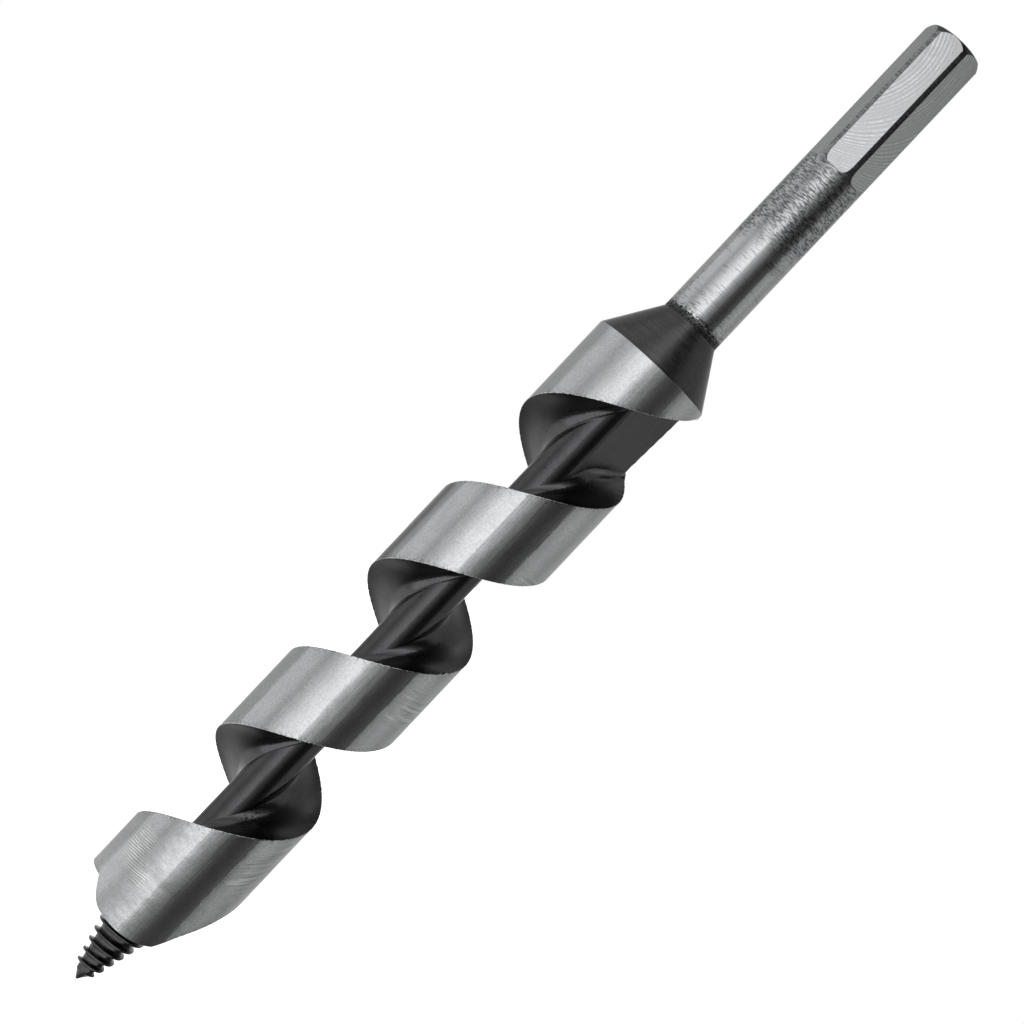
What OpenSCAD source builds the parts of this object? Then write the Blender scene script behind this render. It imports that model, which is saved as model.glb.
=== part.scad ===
// Single-flute auger bit for wood: lead screw, cutting lip, side spur, helical flight round a core,
// end wall of the chip channel, shoulder and hex-flatted shank.
// The axis is Z. The origin is the middle of the shank's end face and the bit points down.

/* [Shank] */
// Diameter of the round shank
shank_d = 12.3; // [11:0.1:18]
// Length of the shank above the weld seam
shank_l = 68.5; // [50:0.5:120]
// Depth of each drive flat below the round surface, which leaves 11.1 mm across the flats
flat_depth = 0.6; // [0.3:0.05:0.9]
// Length of the six drive flats
flat_l = 32; // [15:0.5:45]
// Radius of the corners where a flat ends
flat_corner_r = 1.3; // [0.6:0.1:2]
// Direction of the first drive flat, about the axis from +X
flat_turn = 19.5; // [0:0.5:59.5]
// Length of the crowned chamfer at the shank's end
chamfer_l = 1.15; // [0.4:0.05:2]
// Depth of the crowned chamfer at the shank's end
chamfer_w = 0.65; // [0.3:0.05:1.2]

/* [Shoulder] */
// Height of the flush weld seam between the shank and the cone
seam_l = 1.4; // [0.6:0.1:3]
// Height of the cone
cone_l = 10.1; // [5:0.1:20]
// Height of the ground rim under the cone
rim_l = 1.1; // [0.5:0.1:4]

/* [Twist] */
// Diameter that the bit bores
bit_d = 25; // [20:0.5:40]
// Diameter of the core that the flight winds round
core_d = 8; // [6:0.1:11]
// Rise of the flight in one turn
pitch = 40.4; // [34:0.1:60]
// Height of the ground land at the flight's edge
land_w = 18.9; // [10:0.1:24]
// Length of the twist from the cutting lip to the rim
twist_l = 132; // [90:0.5:260]
// Radius of the fillet between the core and the flight's faces
root_r = 2.6; // [1:0.1:4]
// How deep each of the flight's faces is hollowed between the core and its edge
hollow = 0.95; // [0:0.05:1.5]
// Direction that the channel's end wall faces, about the axis from +X
wall_turn = -35; // [-90:1:90]

/* [Head] */
// Direction of the cutting lip, about the axis from +X
lip_turn = 87.3; // [0:0.1:360]
// Thickness left at the cutting edge
lip_edge = 0.4; // [0.2:0.05:1]
// How far round the axis the cutting lip reaches before the flight takes over
lip_span = 90; // [40:1:120]
// Slope of the relief from the side spur up to the flight
relief_tilt = 49.5; // [40:0.5:55]
// Angle from the lip at which the relief starts to climb
relief_turn = 220; // [205:1:235]
// Height of the relief above the lip there
relief_rise = 1.05; // [0.5:0.05:2]
// How far the side spur reaches below the lip
spur_drop = 4; // [2:0.1:7]
// Angle from the lip to the spur's lowest point
spur_turn = 177; // [160:1:190]
// Half angle of the spur on its leading side
spur_lead = 45; // [25:1:60]
// Half angle of the spur on its trailing side
spur_trail = 41; // [25:1:60]
// Thickness of the spur where it leaves the flight
spur_root_t = 2.6; // [1.5:0.1:4]
// Thickness of the spur at its scoring edge
spur_edge_t = 0.6; // [0.3:0.05:1.4]

/* [Lead screw] */
// Length of the lead screw from its point to the lip
screw_l = 18.15; // [12:0.05:30]
// Rise of the screw's thread in one turn
screw_pitch = 2.04; // [1.4:0.02:3]
// Diameter of the screw's root if its taper ran to the point
screw_root_d = 2.1; // [1:0.1:4]
// Length over which the root widens to the core
taper_l = 13.8; // [8:0.1:15]
// Height of the thread at the point
thread_h = 0.65; // [0.3:0.05:1]
// How much the thread grows over the taper
thread_growth = 0.6; // [0:0.05:1]
// Length of the plain conical point
point_l = 1.7; // [1:0.1:3]
// Length over which the thread fades out above the taper
fade_l = 2.6; // [1:0.1:4]

/* [Hidden] */
$fn = 96;

ground_steel = "#b4b6b8";
forged_steel = "#45474a";
oxide_steel = "#2a2b2d";

// Clearance between the channel's end wall and the flight that it fills
seat_gap = 0.03;
// Thickness at which a tapering end of the flight stops
tail_edge = 0.3;
// Room that a cutting tool has past the surface that it cuts
overcut = 1;
// Number of drive flats
flat_count = 6;
// Angle between two sections of the flight
section_step = 6;
// Numbers of steps in a fillet, and in a face from its fillet to its edge
fillet_steps = 3;
face_steps = 3;
// How much of the flight's height over the lip or under the rim a hollow may take
hollow_share = 0.6;
// Roundness of the spur's outline, where 2 is an ellipse
spur_power = 1.9;
// How much of the spur's half angle is kept before its tapering end stops
spur_reach = 0.98;
// How far past the round surface a flat's cutter reaches on each side
flat_spill = 0.26;
// Roundness of the thread's crest, where less is blunter
crest_power = 0.8;
// Sides and rows per thread of the lead screw
screw_sides = 24;
screw_rows = 8;

bit_r = bit_d / 2;
core_r = core_d / 2;
shank_r = shank_d / 2;
flat_r = shank_r - flat_depth;
// Half the width of a flat, cut wide enough to run out of the round surface
flat_half = sqrt(pow(shank_r, 2) - pow(flat_r, 2)) + flat_spill;
// The chamfer is a zone of a sphere, centred on the axis at crown_z below the end face
end_r = shank_r - chamfer_w;
crown_z = (pow(shank_r, 2) - pow(end_r, 2) + pow(chamfer_l, 2)) / (2 * chamfer_l);
crown_r = sqrt(pow(end_r, 2) + pow(crown_z, 2));

// Heights of the joints between the sections, from the shank's end down
seam_z = -shank_l;
cone_z = seam_z - seam_l;
rim_z = cone_z - cone_l;
top_z = rim_z - rim_l;
lip_z = top_z - twist_l;
point_z = lip_z - screw_l;

// Inner radius of a faceted ring that clears the round core
ring_r = core_r / cos(section_step / 2) + seat_gap / 2;

// Angle from the lip at which the flight's underside meets the rim
tail_turn = (twist_l - lip_edge - tail_edge + land_w) * 360 / pitch;

// Heights of the flight's edges at an angle from the lip
function upper_z(turn) = lip_z + lip_edge + pitch * turn / 360;
function lower_z(turn) = upper_z(turn) - land_w;
function relief_z(turn) = lip_z + relief_rise + bit_r * tan(relief_tilt) * sin(turn - relief_turn);
// First whole degree after a turn at which the climbing relief has met the flight's lower edge
function relief_end(turn) =
    relief_z(turn) >= lower_z(turn) || turn >= relief_turn + 90 ? turn : relief_end(turn + 1);
function under_z(turn) =
    turn < relief_turn - 90 ? lip_z
    : turn < relief_end(relief_turn) ? max(lip_z, min(lower_z(turn), relief_z(turn)))
    : lower_z(turn);

// Radius halfway across a face
face_r = (core_r + bit_r) / 2;

// How far the fillet and the hollow put a face off its edge at a radius, where it has some room
function fillet_h(r) =
    let (reach = core_r + root_r - r)
    reach > 0 ? root_r - sqrt(max(0, pow(root_r, 2) - pow(reach, 2))) : 0;
function face_h(r, room) =
    let (depth = max(0, min(hollow, hollow_share * room)))
    fillet_h(r) - depth * (1 - pow((r - face_r) / (bit_r - face_r), 2));

// Heights of the flight's two faces, which stop at the lip below and at the rim above
function top_face(turn, r) =
    let (edge = upper_z(turn))
    min(top_z, edge + face_h(r, edge - lip_z));
function under_face(turn, r) =
    let (edge = under_z(turn), above = top_z - edge)
    max(lip_z, edge - min(face_h(r, min(edge - lip_z, above)), above));

// Radii at which a section of the flight has points, from the core out to a limit
function section_radii(limit) =
    let (fillet = [for (k = [1 : fillet_steps]) core_r + root_r * (1 - cos(90 * k / fillet_steps))],
         inner = core_r + root_r,
         face = [for (k = [1 : face_steps]) inner + (bit_r - inner) * k / face_steps],
         scale = (limit - ring_r) / (bit_r - ring_r))
    [for (r = concat([ring_r], fillet, face)) ring_r + (r - ring_r) * scale];

function polar(r, angle, z) = [r * cos(angle), r * sin(angle), z];

// Angles from one turn to another in equal steps
function steps(from, to) =
    let (count = ceil((to - from) / section_step))
    [for (k = [0 : count]) from + (to - from) * k / count];

// Solid through rings of points. Each ring runs outwards along its underside and back along its top
module skin(rings) {
    ring = len(rings[0]);
    half = ring / 2;
    last = (len(rings) - 1) * ring;
    sides = [for (i = [0 : len(rings) - 2], j = [0 : ring - 1])
        let (a = i * ring + j, b = i * ring + (j + 1) % ring)
        each [[a, b, b + ring], [a, b + ring, a + ring]]];
    caps = [for (j = [0 : half - 2])
        let (under = j, top = ring - 1 - j)
        each [[under, top, top - 1], [under, top - 1, under + 1],
              [last + top - 1, last + top, last + under],
              [last + under + 1, last + top - 1, last + under]]];
    polyhedron([for (points = rings) each points], concat(sides, caps));
}

// Section of the flight at an angle from the lip
function flight_ring(turn) =
    let (radii = section_radii(bit_r), count = len(radii), angle = lip_turn + turn)
    concat([for (r = radii) polar(r, angle, under_face(turn, r))],
           [for (k = [count - 1 : -1 : 0]) polar(radii[k], angle, top_face(turn, radii[k]))]);

module flight(from, to) {
    skin([for (turn = steps(from, to)) flight_ring(turn)]);
}

module cutting_lip() {
    color(ground_steel) flight(0, lip_span);
}

module twist() {
    color(ground_steel) flight(lip_span, tail_turn);
}

module core_rod() {
    color(forged_steel) translate([0, 0, lip_z]) cylinder(h = twist_l, r = core_r);
}

// Last turn in which the channel's end wall can leave the core below the rim
wall_loops = floor((tail_turn - 360 - (wall_turn - lip_turn)) / 360);
wall_start = wall_turn - lip_turn + 360 * wall_loops;
// Angle after the wall's own direction at which its thin edge at the core stops
wall_edge = 20;
// Angle at which the channel has closed under the rim
wall_end = (twist_l - lip_edge - tail_edge) * 360 / pitch;

// Section of the solid behind the flat end wall, which lies at a tangent to the core
function wall_ring(turn) =
    let (away = turn - wall_start,
         limit = away < acos(ring_r / bit_r) ? ring_r / cos(away) : bit_r,
         radii = section_radii(limit), count = len(radii), angle = lip_turn + turn)
    concat([for (r = radii) polar(r, angle, min(top_z - tail_edge, top_face(turn, r)) + seat_gap)],
           [for (k = [count - 1 : -1 : 0])
               polar(radii[k], angle, min(top_z, under_face(turn + 360, radii[k]) - seat_gap))]);

module run_out_web() {
    color(forged_steel)
        skin([for (turn = steps(wall_start + wall_edge, wall_end)) wall_ring(turn)]);
}

module shoulder_cone() {
    color(forged_steel) {
        translate([0, 0, rim_z]) cylinder(h = cone_l, r1 = bit_r, r2 = shank_r);
        translate([0, 0, top_z]) cylinder(h = rim_l, r = bit_r);
    }
}

module weld_seam() {
    color(oxide_steel) translate([0, 0, cone_z]) cylinder(h = seam_l, r = shank_r);
}

// Space that the cutter clears above one flat, with rounded corners where it stops
module flat_cutter() {
    depth = flat_depth + overcut;
    translate([flat_r, 0, 0]) {
        translate([0, -flat_half, flat_corner_r - flat_l])
            cube([depth, 2 * flat_half, flat_l - flat_corner_r + overcut]);
        translate([0, flat_corner_r - flat_half, -flat_l])
            cube([depth, 2 * (flat_half - flat_corner_r), flat_corner_r + overcut]);
        for (side = [-1, 1])
            translate([0, side * (flat_half - flat_corner_r), flat_corner_r - flat_l])
                rotate([0, 90, 0]) cylinder(h = depth, r = flat_corner_r);
    }
}

module drive_shank() {
    color(ground_steel) difference() {
        union() {
            translate([0, 0, seam_z]) cylinder(h = shank_l - chamfer_l, r = shank_r);
            intersection() {
                translate([0, 0, -chamfer_l]) cylinder(h = chamfer_l, r = shank_r);
                translate([0, 0, -crown_z]) sphere(r = crown_r);
            }
        }
        for (k = [0 : flat_count - 1])
            rotate([0, 0, flat_turn + 360 / flat_count * k]) flat_cutter();
    }
}

// Height of the spur's scoring edge at an angle from the lip
function spur_z(turn) =
    let (away = turn - spur_turn, share = abs(away) / (away < 0 ? spur_lead : spur_trail))
    lip_z - spur_drop * pow(1 - pow(share, spur_power), 1 / spur_power);

// Inner radius of the spur, which thins evenly down to its edge
function spur_r(z) = bit_r - spur_edge_t - (spur_root_t - spur_edge_t) * (1 - (lip_z - z) / spur_drop);

function spur_ring(turn) =
    let (angle = lip_turn + turn, z = spur_z(turn))
    [polar(spur_r(z), angle, z), polar(bit_r, angle, z),
     polar(bit_r, angle, lip_z), polar(spur_r(lip_z), angle, lip_z)];

module side_spur() {
    color(ground_steel)
        skin([for (turn = steps(spur_turn - spur_reach * spur_lead, spur_turn + spur_reach * spur_trail))
            spur_ring(turn)]);
}

// Radius of the lead screw at a height above its point and an angle
function screw_root(h) = min(core_r, screw_root_d / 2 + (core_r - screw_root_d / 2) * h / taper_l);
function thread_top(h) =
    (thread_h + thread_growth * min(h, taper_l) / taper_l)
    * max(0, min(1, (taper_l + fade_l - h) / fade_l));
function thread_wave(h, angle) = max(0, cos(360 * (h / screw_pitch - angle / 360)));
function screw_r(h, angle) =
    let (wound = screw_root(h) + thread_top(h) * pow(thread_wave(h, angle), crest_power))
    h < point_l ? wound * h / point_l : wound;

module lead_screw() {
    rows = ceil(screw_l / screw_pitch * screw_rows);
    side_points = [for (i = [1 : rows], k = [0 : screw_sides - 1])
        let (h = screw_l * i / rows, angle = 360 * k / screw_sides)
        polar(screw_r(h, angle), angle, point_z + h)];
    point = len(side_points);
    quads = [for (i = [0 : rows - 2], k = [0 : screw_sides - 1])
        let (a = i * screw_sides + k, b = i * screw_sides + (k + 1) % screw_sides)
        each [[a, a + screw_sides, b + screw_sides], [a, b + screw_sides, b]]];
    tip = [for (k = [0 : screw_sides - 1]) [point, k, (k + 1) % screw_sides]];
    top = [for (k = [0 : screw_sides - 1])
        let (row = (rows - 1) * screw_sides)
        [point + 1, row + (k + 1) % screw_sides, row + k]];
    color(oxide_steel)
        polyhedron(concat(side_points, [[0, 0, point_z], [0, 0, lip_z]]), concat(quads, tip, top));
}

drive_shank();
weld_seam();
shoulder_cone();
core_rod();
twist();
run_out_web();
cutting_lip();
side_spur();
lead_screw();
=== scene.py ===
import bpy
import numpy as np
from mathutils import Matrix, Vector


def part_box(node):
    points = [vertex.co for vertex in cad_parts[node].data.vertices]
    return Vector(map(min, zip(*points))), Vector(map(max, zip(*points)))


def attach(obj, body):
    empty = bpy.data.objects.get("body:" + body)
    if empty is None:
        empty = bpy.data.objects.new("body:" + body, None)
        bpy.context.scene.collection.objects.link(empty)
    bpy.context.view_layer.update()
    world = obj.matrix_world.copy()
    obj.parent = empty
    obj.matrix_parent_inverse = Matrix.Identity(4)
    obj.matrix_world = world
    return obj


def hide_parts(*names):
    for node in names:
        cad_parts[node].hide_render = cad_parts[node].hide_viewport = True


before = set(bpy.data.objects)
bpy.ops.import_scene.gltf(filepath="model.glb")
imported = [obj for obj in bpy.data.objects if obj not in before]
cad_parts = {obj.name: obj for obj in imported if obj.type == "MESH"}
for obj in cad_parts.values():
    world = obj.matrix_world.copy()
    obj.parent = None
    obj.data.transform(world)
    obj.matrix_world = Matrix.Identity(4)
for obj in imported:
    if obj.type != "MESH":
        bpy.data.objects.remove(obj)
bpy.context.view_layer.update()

# Sizes are in millimetres and degrees. Those that the solids show come from the frame.
MM = 0.001


def span(node):
    """Lowest and highest corner of one of the frame's solids, in millimetres."""
    return np.array(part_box(node)) / MM


SHANK_R = span("drive_shank")[1, 0]
SEAM_Z = span("drive_shank")[0, 2]
CONE_Z = span("weld_seam")[0, 2]
TOP_Z = span("shoulder_cone")[0, 2]
BIT_R = span("shoulder_cone")[1, 0]
CORE_R = span("core_rod")[1, 0]
LIP_Z = span("core_rod")[0, 2]
POINT_Z = span("lead_screw")[0, 2]
SPUR_DROP = LIP_Z - span("side_spur")[0, 2]

# All pieces: how far one reaches into its neighbour, and the angle from which an edge is sharp
SINK = 0.1
SHARP = 20.0

# Shank
FLAT_R = 5.58
FLAT_L = 32.0
FLAT_CORNER_W = 1.25
FLAT_CORNER_H = 2.1
FLAT_TURN = 19.5
FLAT_COUNT = 6
FLAT_STEP = 360 / FLAT_COUNT
FLAT_RUNOUT = 0.35
CHAMFER_L = 1.15
CHAMFER_W = 0.65
# The milling cutter's arcs: their middle beside the flat and along it, their spacing, and their flattening
ARC_SIDE = 17.0
ARC_Z = -8.5
ARC_GAP = 0.75
ARC_BEND = 2e-6

# Weld seam: depth and length of its roughness
SEAM_ROUGH = 0.03
SEAM_WAVE = 1.0

# Shoulder: the rim's last row ends a little below its rounded edge
RIM_L = 1.1
RIM_EDGE = 0.14
RIM_GAP = 0.05

# Flight
PITCH = 40.4
LAND_W = 18.9
ROOT_R = 2.2
HOLLOW = 0.95
HOLLOW_SHARE = 0.6
LIP_TURN = 87.3
LIP_EDGE = 0.4
LIP_SPAN = 90.0
TAIL_EDGE = 0.3
# Rounding of the land's edges, and its least size and largest share of the land
LAND_EDGE = 0.12
EDGE_LEAST = 0.002
EDGE_SHARE = 0.3
# Turn and height over which an edge becomes free, beside the end wall or the spur and below the shoulder
FREE_TURN = 3.0
FREE_DROP = 0.6
# Ragged edges: depth, length and reach, and how much deeper they are at a burr
RAGGED = 0.03
RAGGED_L = 0.6
RAGGED_REACH = 0.25
BURR = 16
# Dents in the faces: depth and length, and where they fade below the land and at the ends
DENTS = 0.02
DENT_L = 5.0
DENT_RIM = 2.0
DENT_END = 1.0

# Core: depth and length of its waver, and how far below the root fillet's top its flat cut starts
CORE_WAVER = 0.02
CORE_WAVE = 9.0
CORE_CUT = 1.0

# Finish of the flight by radius: from glossy to dull, from grey to black by painted shade towards the rim,
# and from pitted to plain
DULL_R = (CORE_R + 0.3, CORE_R + 3.0)
RIM_SHADE_R = (9.0, 12.3)
PITS_R = (7.5, 9.0)
# Dullness of the upper face as a share of the underside's
UPPER_DULL = 0.5
# Patches on the flight: left and right angle from the front, and heights above the lip
CHATTER = [(-52, -28, 6.8, 12.0), (-37, -12, 4.6, 6.8)]
# Painted shade on the left side of one land
SHADED_LANDS = [(-92, -62, 74.0, 94.0)]
SCRATCHES = [(36, 90, 14.5, 30.0), (38, 82, 54.5, 62.0), (40, 88, 88.0, 95.0)]
PITS = [(22, 58, 23.0, 30.0)]
BURRS = [(50, 62, 66.0, 74.0)]
# Eased borders of a patch: outwards and inwards at its sides, and both ways at its ends
PATCH_OUT = 5
PATCH_IN = 7
PATCH_END = 0.8
# How steeply the wheel's strokes rise on each turn of the land, and the rise and spacing of its chatter
STROKES = np.array([0.58, 0.14, 0.1, 0.1])
CHATTER_RISE = 0.12
CHATTER_GAP = 0.47
# Scratches come and go over a length, between two heights of a ripple. Wear reaches in from the edges.
SCRATCH_L = 14
SCRATCH_FADE = (-0.6, 0.4)
WEAR_REACH = 0.5

# End wall of the chip channel: its direction, how that turns with height, and its distance from the axis
WALL_TURN = -35.0
WALL_LEAN = -0.34
WALL_MIDDLE = TOP_Z - 9.0
WALL_R = 3.93
# First guess of its radius, its least height, and the largest angle from its direction
WALL_GUESS_R = CORE_R + 0.01
WALL_LEAST = 0.05
WALL_SIDE = 89
# Section of the fold at its foot: distances from the wall, and heights over the flight's face
FOLD_OUT = np.array([1.9, 1.6, 1.35, 1.2, 1.12, 1.04, 0.96, 0.8, 0.5, 0.25, 0.1, 0.0])
FOLD_UP = np.array([-0.1, 0.1, 0.2, 0.18, 0.09, 0.09, 0.35, 0.45, 0.5, 0.52, 0.54, 0.6])
# Angles over which the fold grows, the last one that widens it, and how close to the land it fades
FOLD_GROWS = (8, 48)
FOLD_SIDE = 72
FOLD_RIM = 0.6
# Small distances that keep its points apart: behind the wall, inside the land and below the wall's rows
FOLD_TUCK = 0.05
FOLD_INSET = 0.02
FOLD_STEP = 0.001
FOLD_GAP = 0.004
FOLD_LEAST = 0.04
# Middle and width of the painted highlight on the fold and of the painted shade in the groove across it,
# and where the groove starts
FOLD_HIGHLIGHT = (0.45, 0.25)
GROOVE = (1.06, 0.16)
GROOVE_GROWS = (38, 48)
# Painted shade on the wall just above its foot: its share, the angles where it starts and ends, and its
# height
FOOT_SHADE = 0.9
FOOT_GROWS = (2, 16)
FOOT_FADES = (56, 68)
FOOT_H = 0.9

# Head: the relief's plane and dip, the lip's clearance, and the spur's outline and thickness
RELIEF_TILT = 49.5
RELIEF_TURN = 220.0
RELIEF_RISE = 1.05
RELIEF_DIP = 0.9
RELIEF_BEND = (RELIEF_TURN - 12, RELIEF_TURN + 8)
LIP_CLEAR = 0.8
CLEAR_GROWS = (0, 25)
CLEAR_FADES = (80, 94)
SPUR_TURN = 177.0
SPUR_LEAD = 45.0
SPUR_TRAIL = 41.0
SPUR_POWER = 1.9
SPUR_SLOPE = 2.15
SPUR_ROOT_T = 2.6
SPUR_EDGE_T = 0.6

# Lead screw: crest and base are shares of the pitch
SCREW_PITCH = 2.04
SCREW_ROOT_R = 1.05
TAPER_L = 13.8
THREAD_H = 0.65
THREAD_GROWTH = 0.6
THREAD_CREST = 0.07
THREAD_BASE = 0.27
POINT_L = 1.7
POINT_BLUNT = 0.45
FADE_L = 2.6

# Turns from the lip at which the flight and its upper edge reach the shoulder, and at which the wall stands
TAIL_TURN = (TOP_Z - LIP_Z - LIP_EDGE - TAIL_EDGE + LAND_W) * 360 / PITCH
WALL_END = (TOP_Z - LIP_Z - LIP_EDGE - TAIL_EDGE) * 360 / PITCH
WALL_LOOPS = np.floor((TAIL_TURN - 360 - WALL_TURN + LIP_TURN) / 360)
WALL_START = WALL_TURN - LIP_TURN + 360 * WALL_LOOPS
# Angles from the wall's direction at which it meets the land and the core
WALL_OPEN = np.degrees(np.arccos(WALL_R / BIT_R))
WALL_CREASE = np.degrees(np.arccos(WALL_R / CORE_R))


# Shared shapes and noise
def cosd(angle):
    """Cosine of an angle in degrees."""
    return np.cos(np.radians(angle))


def sind(angle):
    """Sine of an angle in degrees."""
    return np.sin(np.radians(angle))


def ease(x, start, end):
    """Smooth step from 0 at start to 1 at end."""
    share = np.clip((x - start) / (end - start), 0, 1)
    return share * share * (3 - 2 * share)


def bell(x, middle, width):
    """Bell curve: 1 at the middle, and 1 / e at a width from it."""
    return np.exp(-((x - middle) / width) ** 2)


def around(count):
    """Angles of evenly spaced columns round the axis."""
    return np.arange(count) * 360 / count


def polar(radius, angle, height):
    """Points at a radius, an angle from +X and a height, as arrays of x, y and z."""
    shaped = np.broadcast_arrays(radius * cosd(angle), radius * sind(angle), height)
    return np.stack(shaped, axis=-1)


def ripple(seed, length, *axes, waves=32, slowest=0.3):
    """Sum of seeded sine waves over the given axes, from length to length / slowest long. Its rms is 1."""
    draw = np.random.default_rng(seed)
    steps = draw.normal(size=(waves, len(axes)))
    steps *= (draw.uniform(slowest, 1, waves) / np.linalg.norm(steps, axis=1))[:, None]
    starts = draw.uniform(0, 2 * np.pi, waves)
    total = 0
    for step, start in zip(steps, starts):
        total = total + np.sin(2 * np.pi / length * sum(s * a for s, a in zip(step, axes)) + start)
    return total * np.sqrt(2 / waves)


def skin(name, rings, finishes, node, slots=None, marks=None, folded=False):
    """Closed solid through a stack of rings of points, in millimetres.

    rings[i, j] is point j of ring i. Each four neighbours make a face, and a fan to the middle of the
    first and last ring closes the ends. A folded ring, whose second half runs back beside its first, is
    closed by strips between its halves instead. slots[i, j] picks the finish of the face after point j of
    ring i; without it the first finish is all over. marks holds named numbers for each point, which the
    finishes read.
    """
    count, size = rings.shape[:2]
    if slots is None:
        slots = np.zeros((count - 1, size))
    points = rings.reshape(-1, 3)
    i, j = np.meshgrid(np.arange(count - 1), np.arange(size), indexing="ij")
    here, beside = i * size + j, i * size + (j + 1) % size
    quads = np.stack([here, beside, beside + size, here + size], axis=-1).reshape(-1, 4)
    far = (count - 1) * size
    if folded:
        k = np.arange(size // 2 - 1)
        first = np.stack([k + 1, k, size - 1 - k, size - 2 - k], axis=-1)
        last = far + first[:, [1, 0, 3, 2]]
    else:
        k = np.arange(size)
        middle = np.full(size, len(points))
        points = np.concatenate([points, rings[:1].mean(axis=1), rings[-1:].mean(axis=1)])
        first = np.stack([middle, (k + 1) % size, k], axis=-1)
        last = np.stack([middle + 1, far + k, far + (k + 1) % size], axis=-1)
    caps = np.concatenate([first, last])

    # The volume's sign tells whether the faces point outwards
    corners = np.concatenate([quads[:, :3], quads[:, [0, 2, 3]], caps[:, :3], caps[:, [0, 2, -1]]])
    a, b, c = points[corners[:, 0]], points[corners[:, 1]], points[corners[:, 2]]
    if np.einsum("ij,ij->i", a, np.cross(b, c)).sum() < 0:
        quads, caps = quads[:, ::-1], caps[:, ::-1]

    mesh = bpy.data.meshes.new(name)
    mesh.from_pydata((points * MM).tolist(), [], quads.tolist() + caps.tolist())
    for finish in finishes:
        mesh.materials.append(finish)
    picks = np.concatenate([slots.ravel(), slots[0, :len(k)], slots[-1, :len(k)]])
    mesh.polygons.foreach_set("material_index", picks.astype(np.int32))
    mesh.polygons.foreach_set("use_smooth", np.ones(len(mesh.polygons), bool))
    mesh.set_sharp_from_angle(angle=np.radians(SHARP))
    for mark, values in (marks or {}).items():
        layer = mesh.attributes.new(mark, "FLOAT", "POINT")
        values = np.append(values.ravel(), np.zeros(len(points) - count * size))
        layer.data.foreach_set("value", values.astype(np.float32))

    piece = bpy.data.objects.new(name, mesh)
    bpy.context.scene.collection.objects.link(piece)
    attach(piece, "root")
    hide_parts(node)


# Finishes. Grain and tool lines finer than 0.2 mm are drawn that coarse, or they would not show.
def linear(code):
    """Linear colour of an sRGB hex value."""
    parts = np.array([int(code[k:k + 2], 16) for k in (1, 3, 5)]) / 255
    value = np.where(parts <= 0.04045, parts / 12.92, ((parts + 0.055) / 1.055) ** 2.4)
    return (*value.tolist(), 1.0)


def add(tree, kind, inputs=None, **settings):
    """Adds a node. inputs holds its sockets' values, or outputs that feed them; settings are its fields."""
    node = tree.nodes.new(kind)
    for field, value in settings.items():
        setattr(node, field, value)
    for socket, value in (inputs or {}).items():
        if isinstance(value, bpy.types.NodeSocket):
            tree.links.new(value, node.inputs[socket])
        else:
            node.inputs[socket].default_value = value
    return node


def begin(name, metallic=1.0):
    """A new material: its node tree, its shader and the place on the piece in millimetres."""
    material = bpy.data.materials.new(name)
    material.use_nodes = True
    tree = material.node_tree
    shader = tree.nodes["Principled BSDF"]
    shader.inputs["Metallic"].default_value = metallic
    place = add(tree, "ShaderNodeTexCoord").outputs["Object"]
    place = add(tree, "ShaderNodeVectorMath", {0: place, "Scale": 1 / MM}, operation="SCALE").outputs[0]
    return material, tree, shader, place


def pattern(tree, place, size, low, high, detail=2.0):
    """Cloudy share of a surface: 0 where the noise is below low, and 1 above high.

    size is a cell's x, y and z in millimetres.
    """
    cells = add(tree, "ShaderNodeMapping", {"Vector": place, "Scale": [1 / side for side in size]})
    noise = add(tree, "ShaderNodeTexNoise", {"Vector": cells.outputs[0], "Scale": 1.0, "Detail": detail})
    share = {"Value": noise.outputs[0], "From Min": low, "From Max": high}
    return add(tree, "ShaderNodeMapRange", share).outputs[0]


def both(tree, *shares):
    """Share of a surface where all the given shares are high: their product."""
    product = shares[0]
    for share in shares[1:]:
        product = add(tree, "ShaderNodeMath", {0: product, 1: share}, operation="MULTIPLY").outputs[0]
    return product


def paint(tree, shader, ground, *coats):
    """Base colour: the ground tone, with each coat's tone laid over it by its share."""
    colour = linear(ground)
    for share, tone in coats:
        coat = add(tree, "ShaderNodeMix", {0: share, 6: colour, 7: linear(tone)}, data_type="RGBA")
        colour = coat.outputs[2]
    tree.links.new(colour, shader.inputs["Base Color"])


def roughen(tree, shader, share, low, high):
    """Roughness from low where the share is 0 to high where it is 1."""
    rough = add(tree, "ShaderNodeMapRange", {"Value": share, "To Min": low, "To Max": high})
    tree.links.new(rough.outputs[0], shader.inputs["Roughness"])


def emboss(tree, shader, *layers):
    """Bump: each layer is a share and the depth in millimetres between its 0 and its 1."""
    normal = {}
    for share, depth in layers:
        bump = add(tree, "ShaderNodeBump", {"Height": share, "Distance": depth * MM, **normal})
        normal = {"Normal": bump.outputs[0]}
    tree.links.new(bump.outputs[0], shader.inputs["Normal"])


# Length of a Wave Texture's own waves at scale 1
WAVE_L = np.pi / 10


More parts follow.
